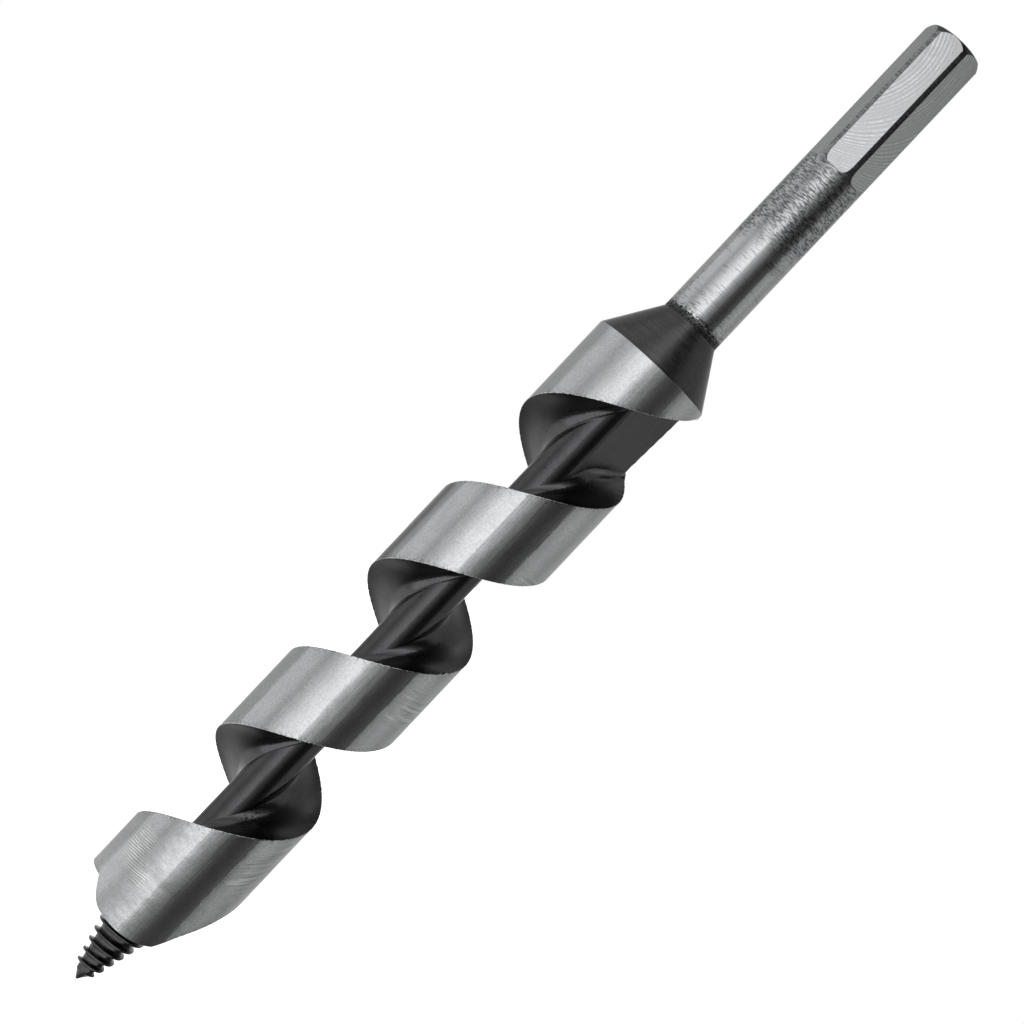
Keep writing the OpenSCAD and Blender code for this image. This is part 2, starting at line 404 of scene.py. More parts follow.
def ground_steel():
    """Ground tool steel: close to a mirror, with a fine grain and pitted edges.

    The wheel leaves stripes along the axis, and in places scratches and chatter marks. One land has painted
    shade.
    """
    material, tree, shader, place = begin("ground tool steel")
    names = ("along_mm", "rise_mm", "stroke_mm", "edge", "scratched", "chatter", "land_shade")
    mark = {name: add(tree, "ShaderNodeAttribute", attribute_name=name).outputs["Fac"] for name in names}
    course = add(tree, "ShaderNodeCombineXYZ", {0: mark["along_mm"], 1: mark["rise_mm"]}).outputs[0]
    cloud = pattern(tree, place, (4, 4, 6), 0.35, 0.65)
    grain = pattern(tree, place, (0.35, 0.35, 0.35), 0.4, 0.75)
    pits = pattern(tree, place, (0.4, 0.4, 0.4), 0.72, 0.78)
    rim_pits = both(tree, mark["edge"], pattern(tree, place, (0.4, 0.4, 0.4), 0.5, 0.6))
    strokes = add(tree, "ShaderNodeCombineXYZ", {0: mark["along_mm"], 1: mark["stroke_mm"]}).outputs[0]
    scratches = both(tree, mark["scratched"], pattern(tree, strokes, (7, 0.35, 1), 0.50, 0.66))
    sweeps = both(tree, mark["scratched"], pattern(tree, strokes, (9, 0.55, 1), 0.54, 0.64))
    waves = add(tree, "ShaderNodeTexWave", {
        "Vector": course, "Scale": WAVE_L / CHATTER_GAP, "Distortion": 3.0, "Detail": 1.0,
        "Detail Scale": 0.6}, bands_direction="Y").outputs["Fac"]
    # The chatter is drawn in colour alone: a painted highlight on its crests and painted shade in its
    # troughs
    crests = add(tree, "ShaderNodeMapRange", {"Value": waves, "From Min": 0.3, "From Max": 0.8})
    troughs = add(tree, "ShaderNodeMapRange", {"Value": waves, "From Min": 0.3, "From Max": 0.05})
    faint = pattern(tree, course, (2.5, 1.0, 1), 0.3, 0.6)
    crests = both(tree, mark["chatter"], crests.outputs[0], faint)
    troughs = both(tree, mark["chatter"], troughs.outputs[0], faint)
    stripes = pattern(tree, place, (1.1, 1.1, 40), 0.2, 0.8, 3.0)
    # Painted shade: a darker streaked patch on one land's side
    shaded_land = both(tree, mark["land_shade"], pattern(tree, place, (1.0, 1.0, 30), 0.2, 0.44, 3.0))
    paint(tree, shader, "#c9cacb", (cloud, "#d3d4d5"), (grain, "#bbbcbd"), (shaded_land, "#808183"),
          (pits, "#9d9e9f"), (rim_pits, "#77787a"), (scratches, "#a0a1a2"), (sweeps, "#e6e7e8"),
          (troughs, "#979899"), (crests, "#ffffff"))
    height = add(tree, "ShaderNodeSeparateXYZ", {0: place}).outputs["Z"]
    near_top = {"Value": height, "From Min": TOP_Z - 16, "From Max": TOP_Z - 6}
    roughen(tree, shader, add(tree, "ShaderNodeMapRange", near_top).outputs[0], 0.10, 0.20)
    waviness = pattern(tree, place, (6, 6, 5), 0.2, 0.8)
    emboss(tree, shader, (stripes, 0.018), (waviness, 0.06), (grain, 0.002))
    return material


def turned_steel():
    """Turned bar left as drawn: bright near the seam, blotched and scored round the axis by the flats."""
    material, tree, shader, place = begin("turned bar steel")
    height = add(tree, "ShaderNodeSeparateXYZ", {0: place}).outputs["Z"]
    sway = pattern(tree, place, (4, 4, 3), 0.3, 0.7)
    level = add(tree, "ShaderNodeMath", {0: sway, 1: 8.0, 2: height}, operation="MULTIPLY_ADD").outputs[0]
    stretches = [(level, -49.0, -43.0), (height, -FLAT_L - 1, -FLAT_L + 1),
                 (height, SEAM_Z + 7, SEAM_Z + 1), (height, SEAM_Z + 1, SEAM_Z)]
    worn, ridge, near_seam, seam = (
        add(tree, "ShaderNodeMapRange", {"Value": value, "From Min": start, "From Max": end}).outputs[0]
        for value, start, end in stretches)
    dashes = pattern(tree, place, (1.0, 1.0, 0.3), 0.48, 0.60, 1.0)
    scores = pattern(tree, place, (2.2, 2.2, 0.18), 0.62, 0.68)
    lines = pattern(tree, place, (9, 9, 0.22), 0.4, 0.7)
    grain = pattern(tree, place, (0.4, 0.4, 0.3), 0.35, 0.75)
    pits = pattern(tree, place, (0.6, 0.6, 0.45), 0.48, 0.56)
    tears = pattern(tree, place, (1.8, 1.8, 0.2), 0.55, 0.63)
    paint(tree, shader, "#d2d3d4", (grain, "#c4c5c6"), (lines, "#c8c9ca"), (worn, "#c0c1c2"),
          (ridge, "#9a9b9c"), (both(tree, worn, dashes), "#7c7d7f"), (both(tree, worn, tears), "#626365"),
          (scores, "#a0a1a2"), (both(tree, near_seam, tears), "#8c8d8e"),
          (both(tree, seam, pits), "#2b2b2c"))
    roughen(tree, shader, worn, 0.12, 0.20)
    emboss(tree, shader, (lines, 0.003), (both(tree, worn, dashes), 0.012), (scores, 0.006))
    return material


def milled_steel():
    """Milled flats: the cutter's arcs are thin light lines of painted reflection with darker gaps, over a
    tone that dulls towards the end.
    """
    material, tree, shader, place = begin("milled steel")
    arc = add(tree, "ShaderNodeAttribute", attribute_name="arc_mm").outputs["Fac"]
    course = add(tree, "ShaderNodeCombineXYZ", {0: arc, 1: 0.4, 2: 0.6}).outputs[0]
    waves = add(tree, "ShaderNodeTexWave", {
        "Vector": course, "Scale": WAVE_L / ARC_GAP, "Distortion": 5.0, "Detail": 1.0,
        "Detail Scale": 1.0}, bands_direction="X").outputs["Fac"]
    height = add(tree, "ShaderNodeSeparateXYZ", {0: place}).outputs["Z"]
    lines, gaps, upper = (
        add(tree, "ShaderNodeMapRange", {"Value": value, "From Min": start, "From Max": end}).outputs[0]
        for value, start, end in [(waves, 0.5, 0.95), (waves, 0.35, 0.0), (height, -24.0, -2.0)])
    faint = both(tree, pattern(tree, place, (2, 2, 4), 0.2, 0.55),
                 pattern(tree, course, (1.4, 1, 1), 0.3, 0.6))
    grain = pattern(tree, place, (0.35, 0.35, 0.5), 0.35, 0.75)
    # Painted reflection on the arcs' lines and painted shade in their gaps, over their shallow relief
    paint(tree, shader, "#bdbebf", (upper, "#a3a4a5"), (both(tree, lines, faint), "#e4e5e6"),
          (both(tree, gaps, faint), "#9c9d9e"), (grain, "#b4b5b6"))
    roughen(tree, shader, lines, 0.22, 0.30)
    emboss(tree, shader, (lines, 0.004), (grain, 0.002))
    return material


def forged_steel():
    """Forged steel under black oxide: dark, softly uneven, glossy on the core, and blacker at the rim by
    painted shade.
    """
    material, tree, shader, place = begin("black forged steel")
    cloud = pattern(tree, place, (3, 3, 3), 0.35, 0.65, 3.0)
    scale = pattern(tree, place, (0.5, 0.5, 0.5), 0.66, 0.74)
    grain = pattern(tree, place, (0.28, 0.28, 0.28), 0.3, 0.7)
    dull, oxide, pitted = (add(tree, "ShaderNodeAttribute", attribute_name=name).outputs["Fac"]
                           for name in ("dull", "oxide", "pitted"))
    pits = both(tree, pitted, pattern(tree, place, (0.3, 0.3, 0.3), 0.54, 0.6))
    # The oxide mark paints shade: the faces darken towards the rim
    paint(tree, shader, "#4a4a4b", (cloud, "#545455"), (grain, "#58585a"), (scale, "#3d3d3e"),
          (oxide, "#39393a"), (pits, "#0c0c0d"))
    roughen(tree, shader, dull, 0.14, 0.42)
    emboss(tree, shader, (cloud, 0.015), (grain, 0.005))
    return material


def pressed_steel():
    """Face pressed by the forging die: duller black oxide, with a painted highlight on the fold and painted
    shade in its groove and along the wall's foot.
    """
    material, tree, shader, place = begin("die-pressed black steel")
    cloud = pattern(tree, place, (3, 3, 3), 0.35, 0.65, 3.0)
    hatch = pattern(tree, place, (0.25, 0.25, 1.6), 0.4, 0.7)
    fold_highlight, foot_shade = (add(tree, "ShaderNodeAttribute", attribute_name=name).outputs["Fac"]
                     for name in ("fold_highlight", "foot_shade"))
    # Painted highlight on the fold's ridge, and painted shade in its groove and on the wall just above it
    paint(tree, shader, "#646465", (cloud, "#6c6c6d"), (hatch, "#5e5e60"), (fold_highlight, "#8c8c8d"),
          (foot_shade, "#1c1c1d"))
    roughen(tree, shader, cloud, 0.36, 0.46)
    emboss(tree, shader, (cloud, 0.015), (hatch, 0.0005))
    return material


def turned_black_steel():
    """Turned cone under black oxide: fine tool lines round the axis."""
    material, tree, shader, place = begin("black turned steel")
    lines = pattern(tree, place, (5, 5, 0.3), 0.4, 0.7)
    cloud = pattern(tree, place, (1.5, 1.5, 1.0), 0.35, 0.65, 3.0)
    grain = pattern(tree, place, (0.4, 0.4, 0.3), 0.35, 0.7)
    paint(tree, shader, "#545455", (cloud, "#5f5f60"), (lines, "#4a4a4b"), (grain, "#505051"))
    roughen(tree, shader, cloud, 0.24, 0.32)
    emboss(tree, shader, (lines, 0.003), (cloud, 0.008))
    return material


def weld_scale():
    """Weld seam: black oxide with pits, and flecks of bare steel towards the shank."""
    material, tree, shader, place = begin("scaled weld steel")
    height = add(tree, "ShaderNodeSeparateXYZ", {0: place}).outputs["Z"]
    near_shank = {"Value": height, "From Min": SEAM_Z - 0.8, "From Max": SEAM_Z}
    upper = add(tree, "ShaderNodeMapRange", near_shank).outputs[0]
    pits = pattern(tree, place, (0.5, 0.5, 0.35), 0.48, 0.56)
    flecks = pattern(tree, place, (0.55, 0.55, 0.4), 0.5, 0.6)
    paint(tree, shader, "#4b4b4c", (pits, "#2c2c2d"), (both(tree, upper, flecks), "#a9aaab"))
    roughen(tree, shader, pits, 0.3, 0.5)
    emboss(tree, shader, (pits, 0.03))
    return material


def scaled_steel():
    """Rolled thread and sawn end under black scale: dark and fairly glossy, with a faint grain."""
    material, tree, shader, place = begin("black scale")
    cloud = pattern(tree, place, (1.2, 1.2, 1.2), 0.35, 0.65, 3.0)
    lines = pattern(tree, place, (2.5, 2.5, 0.2), 0.4, 0.7)
    paint(tree, shader, "#4c4c4d", (cloud, "#595a5b"), (lines, "#434344"))
    roughen(tree, shader, cloud, 0.18, 0.3)
    emboss(tree, shader, (cloud, 0.01), (lines, 0.003))
    return material


GROUND = ground_steel()
TURNED = turned_steel()
MILLED = milled_steel()
FORGED = forged_steel()
PRESSED = pressed_steel()
TURNED_BLACK = turned_black_steel()
WELD = weld_scale()
SCALED = scaled_steel()


# Shank and shoulder
def shank():
    """Round bar with six milled flats and a crowned end.

    The columns run round the axis and meet each flat's edges. Up a column the radius is the bar's, then
    drops along a quarter ellipse to the flat, follows the flat's plane (its distance over the cosine of
    the angle from its middle), and ends on a zone of a sphere.
    """
    half = np.degrees(np.arccos(FLAT_R / SHANK_R))
    ridge = np.linspace(half, FLAT_STEP - half, 9)[1:-1]
    away = np.concatenate([np.linspace(-half, half, 41), ridge])
    across = np.clip(away, -half, half)
    angle = (FLAT_TURN + FLAT_STEP * np.arange(FLAT_COUNT)[:, None] + away).ravel()
    on_flat = np.tile(away <= half, FLAT_COUNT)
    width = np.tile(FLAT_R * np.tan(np.radians(across)), FLAT_COUNT)
    flat = np.where(on_flat, np.tile(FLAT_R / cosd(across), FLAT_COUNT), SHANK_R)

    end_r = SHANK_R - CHAMFER_W
    crown_z = (SHANK_R**2 - end_r**2 + CHAMFER_L**2) / (2 * CHAMFER_L)
    crown_r = np.hypot(end_r, crown_z)
    crown = np.where(on_flat, np.sqrt(crown_r**2 - FLAT_R**2 - width**2) - crown_z, -CHAMFER_L)

    past = np.clip(1 - (FLAT_R * np.tan(np.radians(half)) - np.abs(width)) / FLAT_CORNER_W, 0, 1)
    foot = FLAT_CORNER_H * (1 - np.sqrt(1 - past**2)) - FLAT_L

    bar_z = SEAM_Z + (foot - SEAM_Z) * np.linspace(0, 1, 60)[:, None]
    turn = np.linspace(0, 90, 8)[1:, None]
    run_z = foot + FLAT_RUNOUT * (1 - cosd(turn))
    run_r = SHANK_R - (SHANK_R - flat) * sind(turn)
    flat_z = foot + FLAT_RUNOUT + (crown - foot - FLAT_RUNOUT) * np.linspace(0, 1, 50)[1:, None]
    zone_z = crown - crown * np.linspace(0, 1, 8)[1:, None]
    zone_r = np.sqrt(crown_r**2 - (zone_z + crown_z) ** 2)
    face_r = np.outer(end_r * np.array([0.7, 0.35]), np.ones(len(angle)))
    height = np.concatenate([bar_z, run_z, flat_z, zone_z, np.zeros(face_r.shape)])
    radius = np.concatenate([
        np.full(bar_z.shape, SHANK_R), run_r, np.broadcast_to(flat, flat_z.shape), zone_r, face_r])

    slots = np.zeros((len(height) - 1, len(angle)))
    crowned = len(bar_z) + len(run_z) + len(flat_z) - 1
    slots[len(bar_z) - 1:crowned] = on_flat & np.roll(on_flat, -1)
    slots[crowned:] = 2
    drop = height - ARC_Z
    arc = np.sqrt((width + ARC_SIDE) ** 2 + drop**2 + ARC_BEND * np.minimum(drop, 0) ** 6)
    skin("shank", polar(radius, angle, height), [TURNED, MILLED, SCALED], "drive_shank",
         slots, {"arc_mm": arc})


def seam_ring():
    """Weld seam: a ring as wide as the shank whose surface is rough by a sum of waves."""
    angle = around(288)
    share = np.linspace(0, 1, 20)[:, None]
    height = CONE_Z + (SEAM_Z - CONE_Z) * share
    rough = ripple(5, SEAM_WAVE, *np.moveaxis(polar(SHANK_R, angle, height), -1, 0))
    radius = SHANK_R - SEAM_ROUGH + SEAM_ROUGH * rough * np.sqrt(sind(180 * share))
    skin("seam_ring", polar(radius, angle, height), [WELD], "weld_seam")


def cone_and_rim():
    """Turned shoulder, spun round the axis: a straight ground rim, a small rounded edge and a cone."""
    rim_z = TOP_Z + RIM_L
    lean = np.degrees(np.arctan2(BIT_R - SHANK_R, CONE_Z - rim_z))
    turn = np.linspace(0, lean, 5)
    edge_z = rim_z - RIM_EDGE * np.tan(np.radians(lean / 2))
    share = np.linspace(0, 1, 40)[1:]
    rim = np.stack([np.full(6, BIT_R), np.linspace(TOP_Z, edge_z - RIM_GAP, 6)])
    edge = np.stack([BIT_R - RIM_EDGE + RIM_EDGE * cosd(turn), edge_z + RIM_EDGE * sind(turn)])
    slope = edge[:, -1:] + (np.array([[SHANK_R], [CONE_Z]]) - edge[:, -1:]) * share
    radius, height = np.concatenate([rim, edge, slope], axis=1)[..., None]
    angle = around(288)
    slots = np.zeros((len(radius) - 1, len(angle)))
    slots[rim.shape[1] + edge.shape[1] - 1:] = 1
    skin("cone_and_rim", polar(radius, angle, height), [GROUND, TURNED_BLACK], "shoulder_cone",
         slots)


# Flight
def upper_edge(turn):
    """Height of the flight's upper edge, a helix, at an angle from the lip."""
    return LIP_Z + LIP_EDGE + PITCH * turn / 360


def relief_cut(turn):
    """Height of the slanting cut behind the spur.

    It is a tilted plane, so a sine round the axis, and dips at the spur.
    """
    plane = RELIEF_RISE + BIT_R * np.tan(np.radians(RELIEF_TILT)) * sind(turn - RELIEF_TURN)
    return LIP_Z + plane - RELIEF_DIP * (1 - ease(turn, *RELIEF_BEND))


def lower_edge(turn):
    """Height of the flight's lower edge: a land below the upper one, cut by the lip and the relief."""
    plain = upper_edge(turn) - LAND_W
    relief = relief_cut(turn)
    past = (turn > RELIEF_TURN + 90) | ((turn > RELIEF_TURN) & (relief > plain))
    cut = np.clip(np.minimum(relief, plain), LIP_Z, None)
    lip = LIP_Z + LIP_CLEAR * ease(turn, *CLEAR_GROWS) * (1 - ease(turn, *CLEAR_FADES))
    return np.where(past, plain, np.where(turn < RELIEF_TURN - 90, lip, cut))


def face_height(radius, room):
    """How far a face stands off its edge: a quarter-circle fillet at the core, less a parabolic hollow.

    The hollow's depth is limited to a share of the room that the flight has over the lip or under the rim.
    """
    reach = np.clip(CORE_R + ROOT_R - radius, 0, ROOT_R)
    fillet = ROOT_R - np.sqrt(ROOT_R**2 - reach**2)
    middle = (CORE_R + BIT_R) / 2
    depth = np.clip(HOLLOW_SHARE * room, 0, HOLLOW)
    return fillet - depth * (1 - ((radius - middle) / (BIT_R - middle)) ** 2)


def upper_face(turn, radius):
    """Height of the flight's upper face: its edge plus what the face stands off it, up to the shoulder."""
    edge = upper_edge(turn)
    return np.minimum(TOP_Z, edge + face_height(radius, edge - LIP_Z))


def under_face(turn, radius):
    """Height of the flight's underside: its edge less what the face stands off it, down to the lip."""
    edge = lower_edge(turn)
    above = TOP_Z - edge
    height = face_height(radius, np.minimum(edge - LIP_Z, above))
    return np.maximum(LIP_Z, edge - np.minimum(height, above))


def front_angle(turn):
    """Angle of a turn from the front of the bit: -180 to 180, and positive to the right."""
    facing = (LIP_TURN + turn + 90) % 360
    return np.where(facing > 180, facing - 360, facing)


def patches(places, facing, up):
    """1 inside the listed patches of the flight and 0 outside, with eased borders."""
    total = 0
    for left, right, low, high in places:
        across = ease(facing, left - PATCH_OUT, left + PATCH_IN)
        across = across * (1 - ease(facing, right - PATCH_IN, right + PATCH_OUT))
        along = ease(up, low - PATCH_END, low + PATCH_END)
        along = along * (1 - ease(up, high - PATCH_END, high + PATCH_END))
        total = total + across * along
    return total


def free_edges(turn, top, bottom):
    """Where the upper and the lower edge are free: 1, eased to 0 at the end wall, spur and shoulder."""
    wall = WALL_START + WALL_OPEN
    free_top = (1 - ease(turn, wall - FREE_TURN, wall)) * ease(TOP_Z - top, 0, FREE_DROP)
    front, back = SPUR_TURN - SPUR_LEAD, SPUR_TURN + SPUR_TRAIL
    at_spur = ease(turn, front - FREE_TURN, front) * (1 - ease(turn, back, back + FREE_TURN))
    return free_top, (1 - at_spur) * ease(TOP_Z - bottom, 0, FREE_DROP)


def flight_marks(turn, radius, height):
    """Numbers that the flight's finishes read: shares from 0 to 1, and places along the land in mm."""
    run = np.radians(turn) * BIT_R
    facing = front_angle(turn)
    up = height - LIP_Z
    loop = np.clip((LIP_TURN + turn - 90) // 360, 0, len(STROKES) - 1).astype(int)
    under = np.arange(radius.shape[1]) > radius.shape[1] / 2
    scratched = ease(ripple(14, SCRATCH_L, run, height), *SCRATCH_FADE)
    return {
        "dull": ease(radius, *DULL_R) * np.where(under, 1.0, UPPER_DULL),
        # The oxide mark is painted shade towards the rim
        "oxide": ease(radius, *RIM_SHADE_R),
        "along_mm": np.broadcast_to(run, height.shape),
        "rise_mm": height - CHATTER_RISE * run,
        "stroke_mm": height - STROKES[loop] * np.radians(facing) * BIT_R,
        "scratched": patches(SCRATCHES, facing, up) * scratched,
        "pitted": patches(PITS, facing, up) * (1 - ease(radius, *PITS_R)),
        "chatter": patches(CHATTER, facing, up),
        # Painted shade on one land's side
        "land_shade": patches(SHADED_LANDS, facing, up)}


def flight(name, start, end, node):
    """Helical flight: its section is carried round the axis while it rises by the pitch.

    The section runs out along the upper face, round the edge, down the ground land and back along the
    underside. Both edges are slightly ragged where they are free, and the faces have shallow dents.
    """
    turn = np.linspace(start, end, int(end - start) + 1)[:, None]
    top, bottom = upper_face(turn, BIT_R), under_face(turn, BIT_R)
    free_top, free_low = free_edges(turn, top, bottom)
    round_top = np.clip(LAND_EDGE * free_top, EDGE_LEAST, EDGE_SHARE * (top - bottom))
    round_low = np.clip(LAND_EDGE * free_low, EDGE_LEAST, EDGE_SHARE * (top - bottom))

    root = np.append(CORE_R - SINK, CORE_R + ROOT_R * (1 - cosd(np.linspace(0, 90, 13))))
    root = np.broadcast_to(root, (len(turn), len(root)))
    face = np.append(np.linspace(0, 0.96, 8)[1:], 1)
    face_r = CORE_R + ROOT_R
    top_r = np.concatenate([root, face_r + (BIT_R - round_top - face_r) * face], axis=1)
    low_r = np.concatenate([root, face_r + (BIT_R - round_low - face_r) * face], axis=1)
    quarter = np.linspace(90, 0, 7)[1:]
    # Rows crowd at both edges, so that the rounding doesn't bend the shading of the land
    land = np.concatenate([[0.001, 0.008], np.linspace(0.05, 0.95, 10), [0.992, 0.999]])
    land_top, land_low = top - round_top, bottom + round_low
    radius = np.concatenate([
        top_r,
        BIT_R - round_top * (1 - cosd(quarter)),
        np.full((len(turn), len(land)), BIT_R),
        BIT_R - round_low * (1 - cosd(quarter[::-1])),
        low_r[:, ::-1]], axis=1)
    height = np.concatenate([
        upper_face(turn, top_r),
        land_top + round_top * sind(quarter),
        land_top + (land_low - land_top) * land,
        land_low - round_low * sind(quarter[::-1]),
        under_face(turn, low_r)[:, ::-1]], axis=1)

    run = np.radians(turn) * BIT_R
    off_top = np.hypot(BIT_R - radius, height - top)
    off_low = np.hypot(BIT_R - radius, height - bottom)
    deep = RAGGED * (1 + BURR * patches(BURRS, front_angle(turn), top - LIP_Z))
    chip_top = deep * free_top * ripple(11, RAGGED_L, run) * np.exp(-off_top / RAGGED_REACH)
    chip_low = RAGGED * free_low * ripple(12, RAGGED_L, run) * np.exp(-off_low / RAGGED_REACH)
    spot = polar(radius, LIP_TURN + turn, height)
    dent = DENTS * ripple(13, DENT_L, *np.moveaxis(spot, -1, 0))
    dent *= np.clip((BIT_R - radius) / DENT_RIM, 0, 1)
    dent *= ease(height, LIP_Z, LIP_Z + DENT_END) * ease(TOP_Z - height, 0, DENT_END)
    spot[..., 2] += dent + chip_top + chip_low

    faces = top_r.shape[1]
    slots = np.zeros((len(turn) - 1, radius.shape[1]))
    slots[:, :faces - 1] = 1
    slots[:, -faces:] = 1
    marks = flight_marks(turn, radius, height)
    wear_top, wear_low = np.exp(-off_top / WEAR_REACH), np.exp(-off_low / WEAR_REACH)
    marks["edge"] = np.maximum(free_top * wear_top, free_low * wear_low)
    skin(name, spot, [GROUND, FORGED], node, slots, marks, folded=True)


def core():
    """Round core: a cylinder whose radius wavers a little, cut flat behind the channel's end wall."""
    angle = around(192)
    height = np.linspace(LIP_Z, TOP_Z, 140)[:, None]
    waver = ripple(21, CORE_WAVE, *np.moveaxis(polar(CORE_R, angle, height), -1, 0))
    radius = CORE_R + CORE_WAVER * waver
    away = (angle - WALL_TURN - WALL_LEAN * (height - WALL_MIDDLE) + 180) % 360 - 180
    behind = (np.abs(away) < WALL_CREASE) & (height > upper_edge(WALL_START) + ROOT_R - CORE_CUT)
    radius = np.where(behind, np.minimum(radius, (WALL_R - SINK) / cosd(away)), radius)
    skin("core", polar(radius, angle, height), [FORGED], "core_rod")


def end_wall():
    """Solid that ends the chip channel: its front is a flat wall that cuts a little into the core.

    At an angle from its own direction the wall's radius is its distance over the cosine, up to the bored
    radius, and from there on the outside is ground like the land. A fold of metal lies along its foot.
    """
    turn = np.linspace(WALL_START - WALL_CREASE, WALL_END, 280)[:, None]
    share = np.linspace(0, 1, 40)
    low = upper_face(turn, WALL_GUESS_R) - SINK
    high = np.minimum(TOP_Z, under_face(turn + 360, WALL_GUESS_R) + SINK)
    # The wall leans, so its radius depends on its heights and they on its radius: a few rounds settle both
    for _ in range(4):
        height = low + (high - low) * share
        away = np.clip(turn - WALL_START - WALL_LEAN * (height - WALL_MIDDLE), -WALL_CREASE, WALL_SIDE)
        radius = np.minimum(BIT_R, WALL_R / cosd(away))
        low = (upper_face(turn, radius) - SINK)[:, :1]
        high = np.minimum(TOP_Z, under_face(turn + 360, radius) + SINK)[:, -1:]
        high = np.maximum(high, low + WALL_LEAST)

    foot_away, foot_r = away[:, :1], radius[:, :1]
    grown = ease(foot_away, *FOLD_GROWS) * ease(BIT_R - foot_r, 0, FOLD_RIM)
    reach = grown / cosd(np.clip(foot_away, 0, FOLD_SIDE)) - FOLD_TUCK * (1 - grown)
    rim = BIT_R - FOLD_INSET - FOLD_STEP * np.arange(len(FOLD_OUT))
    fold_r = np.minimum(rim, foot_r + reach * FOLD_OUT)
    fold_z = upper_face(turn, fold_r) + grown * FOLD_UP
    fold_top = fold_z[:, -1:]
    start = np.minimum(np.maximum(low, fold_top + FOLD_GAP), high - FOLD_LEAST)
    height = start + (high - start) * share
    inside = np.full((len(turn), 2), CORE_R - 4 * SINK)
    rings = polar(np.concatenate([fold_r, radius, inside], axis=1), LIP_TURN + turn,
                  np.concatenate([fold_z, height, high, low], axis=1))

    slots = np.ones((len(turn) - 1, rings.shape[1]))
    wall = slice(len(FOLD_OUT), len(FOLD_OUT) + len(share) - 1)
    slots[:, wall] = radius[:-1, :-1] < BIT_R
    # Painted highlight along the fold's ridge, and painted shade in its groove
    fold_highlight = grown * bell(FOLD_OUT, *FOLD_HIGHLIGHT)
    groove = ease(foot_away, *GROOVE_GROWS) * bell(FOLD_OUT, *GROOVE)
    # Painted shade on the wall just above the fold, where the foot lies in shadow
    foot = FOOT_SHADE * ease(away, *FOOT_GROWS) * (1 - ease(away, *FOOT_FADES))
    foot = foot * bell(np.maximum(height - fold_top, 0), 0, FOOT_H)
    bare = np.zeros(inside.shape)
    marks = {"fold_highlight": np.concatenate([fold_highlight, np.zeros(height.shape), bare], axis=1),
             "foot_shade": np.concatenate([groove, foot, bare], axis=1)}
    skin("end_wall", rings, [GROUND, PRESSED], "run_out_web", slots, marks)


# Head
def spur():
    """Side spur: a tongue below the land that thins to its scoring edge.

    Its outline slopes down at a steady rate in front, eased into the bottom by a fourth-power mean, and
    rises as a superellipse behind, where the relief cuts it.
    """
    trail = np.linspace(0, SPUR_TRAIL, 400)
    trail = trail[relief_cut(SPUR_TURN + trail) < LIP_Z][-1]
    # The outline stops just short of its ends, where it would close to a point
    quarter = np.linspace(0, 89, 60)
    away = np.concatenate([-SPUR_LEAD * sind(quarter[::-1]), trail * sind(quarter[1:])])[:, None]
    turn = SPUR_TURN + away
    share = np.abs(away) / np.where(away < 0, SPUR_LEAD, SPUR_TRAIL)
    slope = 1 - share
    front = slope * ((1 + SPUR_SLOPE**4) / (1 + (SPUR_SLOPE * slope) ** 4)) ** 0.25
    back = (1 - share**SPUR_POWER) ** (1 / SPUR_POWER)
    edge = LIP_Z - SPUR_DROP * np.where(away < 0, front, back)
    edge = np.where(away > 0, np.maximum(edge, np.minimum(relief_cut(turn), LIP_Z)), edge)
    down = np.linspace(0, 1, 16)
    height = LIP_Z + (edge - LIP_Z) * down
    thick = SPUR_EDGE_T + (SPUR_ROOT_T - SPUR_EDGE_T) * (1 - (LIP_Z - height) / SPUR_DROP)
    radius = np.concatenate([np.full(height.shape, BIT_R), (BIT_R - thick)[:, ::-1]], axis=1)
    height = np.concatenate([height, height[:, ::-1]], axis=1)
    slots = np.zeros((len(turn) - 1, radius.shape[1]))
    slots[:, len(down):] = 1
    spot = polar(radius, LIP_TURN + turn, height)
    skin("spur", spot, [GROUND, FORGED], "side_spur", slots, folded=True)


def screw():
    """Lead screw: a cone whose radius gains a ridge along a helix.

    Across the thread the ridge is flat at the crest and eases down to the root over a share of the pitch.
    """
    angle = around(96)
    point, thread = np.linspace(0, POINT_L, 40), np.linspace(POINT_L, LIP_Z - POINT_Z, 300)
    rise = np.concatenate([point, thread[1:]])[:, None]
    grown = np.minimum(rise, TAPER_L) / TAPER_L
    root = SCREW_ROOT_R + (CORE_R - SCREW_ROOT_R) * grown
    crest = (THREAD_H + THREAD_GROWTH * grown) * np.clip((TAPER_L + FADE_L - rise) / FADE_L, 0, 1)
    crest = crest * ease(rise, POINT_L, POINT_L + THREAD_H)
    phase = rise / SCREW_PITCH - angle / 360
    phase = np.abs(phase - np.round(phase))
    radius = root + crest * (1 - ease(phase, THREAD_CREST, THREAD_BASE))
    radius = radius * np.clip((rise + POINT_BLUNT) / (POINT_L + POINT_BLUNT), 0, 1)
    skin("screw", polar(radius, angle, POINT_Z + rise), [SCALED], "lead_screw")


shank()
seam_ring()
cone_and_rim()
core()
flight("flight", LIP_SPAN, TAIL_TURN, "twist")
flight("lip", 0, LIP_SPAN, "cutting_lip")
end_wall()
spur()
screw()

# Studio: the floor's half width and its distance below the point
FLOOR_HALF = 3000
FLOOR_GAP = 0.5
